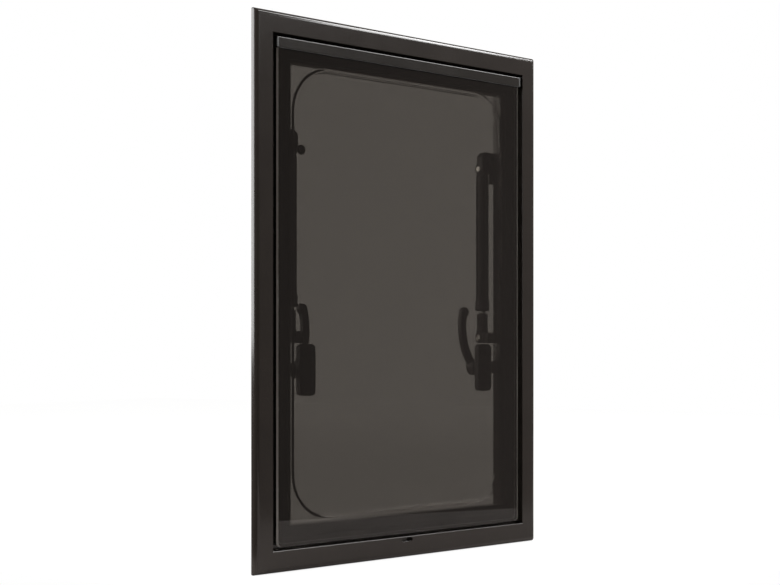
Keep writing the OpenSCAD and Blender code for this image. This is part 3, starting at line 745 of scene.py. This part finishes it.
def make_lever(finishes):
    """The latch's handle: an arm that bows inwards and rises off the pane, with a hub, a knob and a nose."""
    width, thick, corner_r, length = 9 * MM, 6.5 * MM, 2.2 * MM, 65 * MM
    bow, bow_at, rise = 13.3 * MM, 41.5 * MM, 4.2 * MM
    knob_r, hub_r, steps = 5.6 * MM, 8.5 * MM, 24
    nose_reach, nose_t, nose_half = 19 * MM, 4 * MM, 5 * MM
    pin_hole_r, rivet_r, rivet_depth = 2.7, 4.4, 0.2
    low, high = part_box("latch_lever_left")
    hub_front, hub_back = low.y, high.y - rise
    bow_r = (bow_at ** 2 + bow ** 2) / (2 * bow)
    centre = Vector((PIVOT.x + bow - bow_r, hub_back - thick / 2, PIVOT.z + bow_at))
    knob_at = length - knob_r
    first, last = -math.asin(bow_at / bow_r), math.asin((knob_at - bow_at) / bow_r)

    def arm_place(angle):
        return centre + Vector((bow_r * math.cos(angle), 0, bow_r * math.sin(angle)))

    def lift(z):
        return rise * (1 - ((length - (z - PIVOT.z)) / length) ** 2)

    deselect()
    bpy.ops.mesh.primitive_plane_add(size=1, location=arm_place(first), rotation=(0, -first, 0))
    piece = bpy.context.object
    piece.name = "latch_lever_left"
    piece.scale = (width, thick, 1)
    bpy.ops.object.transform_apply(location=True, rotation=True, scale=True)
    edit()
    bpy.ops.mesh.select_all(action="SELECT")
    bpy.ops.mesh.bevel(offset=corner_r, offset_type="OFFSET", segments=4, affect="VERTICES")
    bpy.ops.mesh.spin(steps=steps, angle=last - first, center=centre, axis=(0, 1, 0))
    for i in range(1, steps + 1):
        angle = first + (last - first) * i / steps
        pick(piece, "verts", lambda v: abs(
            math.atan2(v.co.z - centre.z, v.co.x - centre.x) - angle) < 0.2 * (last - first) / steps)
        bpy.ops.transform.translate(value=(0, lift(arm_place(angle).z), 0))
    pick(piece, "edges", lambda e: len(e.link_faces) < 2)
    bpy.ops.mesh.edge_face_add()
    bpy.ops.object.mode_set(mode="OBJECT")
    outward(piece)
    knob_x = arm_place(last).x + width / 2 - knob_r
    knob_y = hub_back + lift(PIVOT.z + knob_at) - thick
    hub_t = (hub_back - hub_front) / MM
    weld(piece,
         turned("knob", pebble(knob_r / MM, thick / MM, 2.2), (knob_x, knob_y, PIVOT.z + knob_at), ALONG_Y),
         turned("hub", pebble(hub_r / MM, hub_t, 1), (PIVOT.x, hub_front, PIVOT.z), ALONG_Y),
         soft_block("nose", (PIVOT.x - nose_reach, hub_front, PIVOT.z - nose_half),
                    (PIVOT.x, hub_front + nose_t, PIVOT.z + nose_half), 1 * MM))
    mould(piece, 0.45, 6)
    drill(piece, pin_hole_r, (PIVOT.x, hub_back, PIVOT.z), ALONG_Y)
    cut(piece, turned("rivet_seat", [(rivet_r, -rivet_depth), (rivet_r, 8)], (PIVOT.x, hub_back, PIVOT.z),
                      ALONG_Y))
    both_sides(piece, "lever_plastic", "lever_left", finishes, "latch_lever")


def make_screws(name, spots, finishes):
    """Small pan-head screws with a cross recess, on the back of the frame."""
    head_r, head_h, dome, slot_l, slot_w, slot_floor = 3, 1.7, 1.2, 3.2 * MM, 0.8 * MM, 0.8 * MM
    first = turned(name, rounded(head_r, head_h, dome), (0, 0, 0))
    for x, y in ((slot_l / 2, slot_w / 2), (slot_w / 2, slot_l / 2)):
        cut(first, cuboid("slot", (-x, -y, slot_floor), (x, y, 2 * head_h * MM)))
    copies = []
    for spot in spots:
        one = first.copy()
        one.data = first.data.copy()
        bpy.context.collection.objects.link(one)
        copies.append(settle(one, spot, ALONG_Y))
    bpy.data.objects.remove(first)
    piece = join(*copies)
    piece.name = name
    both_sides(piece, "pin_steel", "window", finishes, None)


def make_strike(finishes):
    """The catch on the frame: a screwed plate with an arm that the lever's nose slides behind."""
    low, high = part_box("latch_strike_left")
    plate_w, plate_t, margin, chamfer, screw_off = 16 * MM, 1.5 * MM, 5 * MM, 2.8 * MM, 6.8 * MM
    front, back = high.y - plate_t, high.y
    piece = fitting_plate("latch_strike_left", (low.x, front, low.z), (low.x + plate_w, back, high.z),
                          3 * MM, 0.6 * MM)
    arm = cuboid("arm", (low.x + plate_w - 1 * MM, low.y, low.z + margin),
                 (high.x, front + 0.2 * MM, high.z - margin))
    edit()
    pick(arm, "edges", lambda e: runs_along(e, 1) and near(middle(e).x, high.x) and near(
        middle(e).z, high.z - margin))
    bevel(chamfer, 1)
    pick(arm, "edges", lambda e: e.calc_face_angle(0) > math.radians(30))
    bevel(0.6 * MM, 3)
    bpy.ops.object.mode_set(mode="OBJECT")
    weld(piece, arm)
    both_sides(piece, "fitting_plastic", "window", finishes, "latch_strike")
    at = Vector((low.x + plate_w / 2, back, (low.z + high.z) / 2))
    make_screws("strike_screws_left", [at + Vector((0, 0, z * screw_off)) for z in (-1, 1)], finishes)


def make_bracket(finishes):
    """The stay's upper bracket: a screwed plate, an arm past the opening, and a hood with two cheeks."""
    low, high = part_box("stay_bracket_left")
    plate_w, plate_t, cheek_t = 18 * MM, 3 * MM, 1.8 * MM
    front = FRAME_HIGH.y
    hood_back, hood_low = STAY.y + 3 * MM, TOP_PIN_Z + (EYE_R + 0.3) * MM
    cheek_in = (high.x - STAY.x) - cheek_t
    chamfer, slope, screw_in, screw_off = 4.5 * MM, 5 * MM, 6 * MM, 11 * MM
    body_x = STAY.x - 7.8 * MM
    piece = fitting_plate("stay_bracket_left", (low.x, front, low.z), (low.x + plate_w, front + plate_t, high.z),
                          3 * MM, 0.8 * MM)
    jamb = FRAME_LOW.x + FRAME_IN
    lower = cuboid("arm_foot", (jamb, front, low.z), (body_x, front + plate_t, high.z))
    slice_off(lower, (jamb, front, low.z), (slope, 0, jamb - body_x))
    upper = cuboid("arm", (jamb - 2 * MM, front + 0.1 * MM, TOP_PIN_Z - (EYE_R - 0.5) * MM),
                   (STAY.x - cheek_in - 0.3 * MM, front + plate_t - 0.1 * MM, high.z - 0.1 * MM))
    hood = cuboid("hood", (STAY.x - cheek_in - cheek_t, low.y, hood_low), (high.x, hood_back, high.z))
    slice_off(hood, (high.x, 0, high.z - chamfer), (1, 0, 1))
    weld(piece, lower, upper, hood)
    for x in (STAY.x - cheek_in - cheek_t, STAY.x + cheek_in):
        web = cuboid("cheek", (x, STAY.y - EYE_R * MM, TOP_PIN_Z), (x + cheek_t, hood_back, hood_low + 1 * MM))
        weld(web, turned("cheek_end", [(EYE_R, 0), (EYE_R, cheek_t / MM)], (x, STAY.y, TOP_PIN_Z), ALONG_X))
        weld(piece, web)
    drill(piece, 2.1, (STAY.x, STAY.y, TOP_PIN_Z), ALONG_X, 8)
    mould(piece, 0.4, 3)
    both_sides(piece, "fitting_plastic", "window", finishes, "stay_bracket")
    at = Vector((low.x + screw_in, front + plate_t, (low.z + high.z) / 2))
    make_screws("bracket_screws_left", [at + Vector((0, 0, z * screw_off)) for z in (-1, 1)], finishes)


def eye(name, width, z):
    """A flat round eye across the stay's axis."""
    return turned(name, [(EYE_R, -width / 2), (EYE_R, width / 2)], (STAY.x, STAY.y, z), ALONG_X)


def make_stay_head(finishes):
    """The stay's upper end: a stem in the tube, a round part flush with it, and a flat eye."""
    width, stem_r, stem_l, head_r, head_h = 7, 5.4, 12, 6.8, 7.2
    tube_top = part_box("stay_tube_left")[1].z
    profile = [(stem_r, -stem_l), (stem_r, 0), (head_r, 0)] + rounded(head_r, head_h, 1.5)[1:]
    piece = turned("stay_head_left", profile, (STAY.x, STAY.y, tube_top))
    neck = cuboid("neck", (STAY.x - width / 2 * MM, STAY.y - EYE_R * MM, tube_top + 6 * MM),
                  (STAY.x + width / 2 * MM, STAY.y + EYE_R * MM, TOP_PIN_Z))
    weld(piece, neck, eye("eye", width, TOP_PIN_Z))
    mould(piece, 0.4, 3)
    drill(piece, 2.2, (STAY.x, STAY.y, TOP_PIN_Z), ALONG_X)
    both_sides(piece, "fitting_plastic", "window", finishes, "stay_head")


def make_tube(finishes):
    """The stay's tube, with its bore and with broken edges."""
    low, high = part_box("stay_tube_left")
    tall, radius, bore, edge = (high.z - low.z) / MM, 6.8, 5.5, 0.3
    profile = [(bore, 0), (radius - edge, 0), (radius, edge), (radius, tall - edge), (radius - edge, tall),
               (bore, tall)]
    piece = turned("stay_tube_left", profile, (STAY.x, STAY.y, low.z), sides=64)
    drill(piece, bore, (STAY.x, STAY.y, STAY.z), (0, 0, 0), tall)
    both_sides(piece, "tube_aluminium", "window", finishes, "stay_tube")


def make_rod(finishes):
    """The rod that slides in the tube, with a small chamfer at both ends."""
    low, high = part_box("stay_rod_left")
    tall, radius, edge = (high.z - low.z) / MM, 3.1, 0.5
    profile = [(radius - edge, 0), (radius, edge), (radius, tall - edge), (radius - edge, tall)]
    piece = turned("stay_rod_left", profile, (STAY.x, STAY.y, low.z), sides=64)
    both_sides(piece, "rod_aluminium", "window", finishes, "stay_rod")


def make_rails(finishes):
    """The two hinge rails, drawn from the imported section, with the corners rounded as an extrusion's are."""
    for node in ("hinge_rail_frame", "hinge_rail_sash"):
        piece = frame["nodes"][node].copy()
        piece.data = frame["nodes"][node].data.copy()
        piece.name = node.replace("hinge_rail", "rail")
        bpy.context.collection.objects.link(piece)
        outward(piece)
        edit()
        bpy.ops.mesh.select_all(action="SELECT")
        bpy.ops.mesh.dissolve_limited(angle_limit=math.radians(1))
        pick(piece, "edges", lambda e: runs_along(e, 0) and e.calc_face_angle(0) > math.radians(60))
        bevel(0.45 * MM, 3)
        dress(done(piece, 30), "hinge_profile", "window", finishes, node)


def make_collar(finishes):
    """The collar under the tube: a grip with two grooves, and a sleeve inside the tube."""
    tube_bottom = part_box("stay_tube_left")[0].z
    grip = [(5.8, -12), (6.6, -11.8), (7.2, -11.3), (7.6, -10.5), (7.6, -7.8), (7.1, -7.5), (7.1, -6.9),
            (7.6, -6.6), (7.6, -5.4), (7.1, -5.1), (7.1, -4.5), (7.6, -4.2), (7.6, -1.2), (7.3, -0.5), (6.9, 0)]
    piece = turned("stay_collar_left", grip + [(5.4, 0), (5.4, 10)], (STAY.x, STAY.y, tube_bottom))
    drill(piece, 3.3, (STAY.x, STAY.y, tube_bottom), (0, 0, 0))
    both_sides(piece, "fitting_plastic", "window", finishes, "stay_collar")


def make_stay_end(finishes):
    """The rod's end: a round part with a soft rim and a flat eye."""
    width, rod_r, rod_depth = 7, 3.15, 10.1
    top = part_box("stay_end_left")[1].z
    tall, start = (top - FOOT_PIN_Z) / MM, EYE_R + 1
    profile = [(EYE_R - 0.6, start), (EYE_R, start + 0.6)] + rounded(EYE_R, tall, 1.5)[1:]
    piece = turned("stay_end_left", profile, (STAY.x, STAY.y, FOOT_PIN_Z))
    neck = cuboid("neck", (STAY.x - width / 2 * MM, STAY.y - EYE_R * MM, FOOT_PIN_Z),
                  (STAY.x + width / 2 * MM, STAY.y + EYE_R * MM, FOOT_PIN_Z + (start + 1) * MM))
    weld(piece, neck, eye("eye", width, FOOT_PIN_Z))
    mould(piece, 0.4, 3)
    drill(piece, 2.2, (STAY.x, STAY.y, FOOT_PIN_Z), ALONG_X)
    cut(piece, turned("rod_seat", [(rod_r, 0), (rod_r, rod_depth + 2)], (STAY.x, STAY.y, top - rod_depth * MM)))
    both_sides(piece, "fitting_plastic", "window", finishes, "stay_end")


def make_foot(finishes):
    """The stay's foot on the inner pane: a plate with two cheeks that slope down to it."""
    low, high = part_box("stay_foot_left")
    cheek_t, plate_t, plate_h = 1.8 * MM, 2.5 * MM, 5.5 * MM
    piece = cuboid("stay_foot_left", low, (high.x, low.y + plate_t, low.z + plate_h))
    for x in (low.x, high.x - cheek_t):
        web = cuboid("web", (x, low.y, low.z), (x + cheek_t, STAY.y, high.z))
        slope = Vector((0, STAY.y - 2.8 * MM - low.y, FOOT_PIN_Z + 5.1 * MM - low.z - plate_h))
        slice_off(web, (x, low.y, low.z + plate_h), (0, -slope.z, slope.y))
        weld(piece, web, turned("cheek_end", [(EYE_R, 0), (EYE_R, cheek_t / MM)],
                                (x, STAY.y, FOOT_PIN_Z), ALONG_X))
    drill(piece, 2.1, (STAY.x, STAY.y, FOOT_PIN_Z), ALONG_X)
    mould(piece, 0.35, 3)
    both_sides(piece, "fitting_plastic", "window", finishes, "stay_foot")


def make_stay_pins(finishes):
    """The stay's two pins, each with a domed riveted head towards the middle of the window."""
    for node in ("stay_top_pin", "stay_foot_pin"):
        low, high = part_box(node + "_left")
        at = (low + high) / 2
        tall, pin_r, head_r, head_h = (high.x - low.x) / MM, 2, 3.5, 1.2
        profile = [(pin_r, 0), (pin_r, tall - head_h)] + rounded(head_r, tall, 1, start=tall - head_h)
        piece = turned(node + "_left", profile, (low.x, at.y, at.z), ALONG_X)
        both_sides(piece, "pin_steel", "window", finishes, node)


def make_plug(finishes):
    """The breather plug: a stem through the pane and a domed head with a dimple."""
    low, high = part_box("breather_plug")
    at = (low + high) / 2
    tall, stem_r, stem_l, head_r = (high.y - low.y) / MM, 3, 3, 4.8
    dimple = [(1.6, tall), (1.2, tall - 0.6)]
    profile = [(stem_r, 0), (stem_r, stem_l), (head_r, stem_l)] + rounded(head_r, tall, 1)[1:] + dimple
    piece = turned("breather_plug", profile, (at.x, low.y, at.z), ALONG_Y)
    dress(done(piece), "fitting_plastic", "window", finishes, "breather_plug")


def make_hinge_caps(finishes):
    """The caps that close the rail's ends, with soft edges."""
    for side in ("left", "right"):
        low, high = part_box("hinge_cap_" + side)
        piece = soft_block("hinge_cap_" + side, low, high, 0.5 * MM, 3)
        dress(done(piece), "fitting_plastic", "window", finishes, "hinge_cap_" + side)


def make_rail_lip(finishes):
    """The soft lip that seals the rail's lower edge against the outer pane."""
    low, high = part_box("hinge_rail_sash")
    strip_h, lip_t, lip_h, edge_r = 10 * MM, 0.9 * MM, 1.1 * MM, 0.35 * MM
    foot, front = high.z - strip_h, PANE_LOW.y
    piece = soft_block("rail_lip", (low.x, front - lip_t, foot - lip_h), (high.x, front, foot), edge_r, 3)
    dress(done(piece), "seal_rubber", "window", finishes)


make_camera()
make_world()
make_lights()
make_floor()
FINISHES = make_materials()
finish_cad_nodes(FINISHES)
for make in (make_frame, make_outer_pane, make_inner_pane, make_seal, make_plug, make_rails, make_hinge_caps,
             make_rail_lip, make_latch_base, make_latch_button, make_latch_pin, make_lever, make_strike,
             make_bracket, make_stay_head, make_tube, make_rod, make_collar, make_stay_end, make_foot,
             make_stay_pins):
    make(FINISHES)

bpy.context.scene.view_settings.view_transform = "Standard"
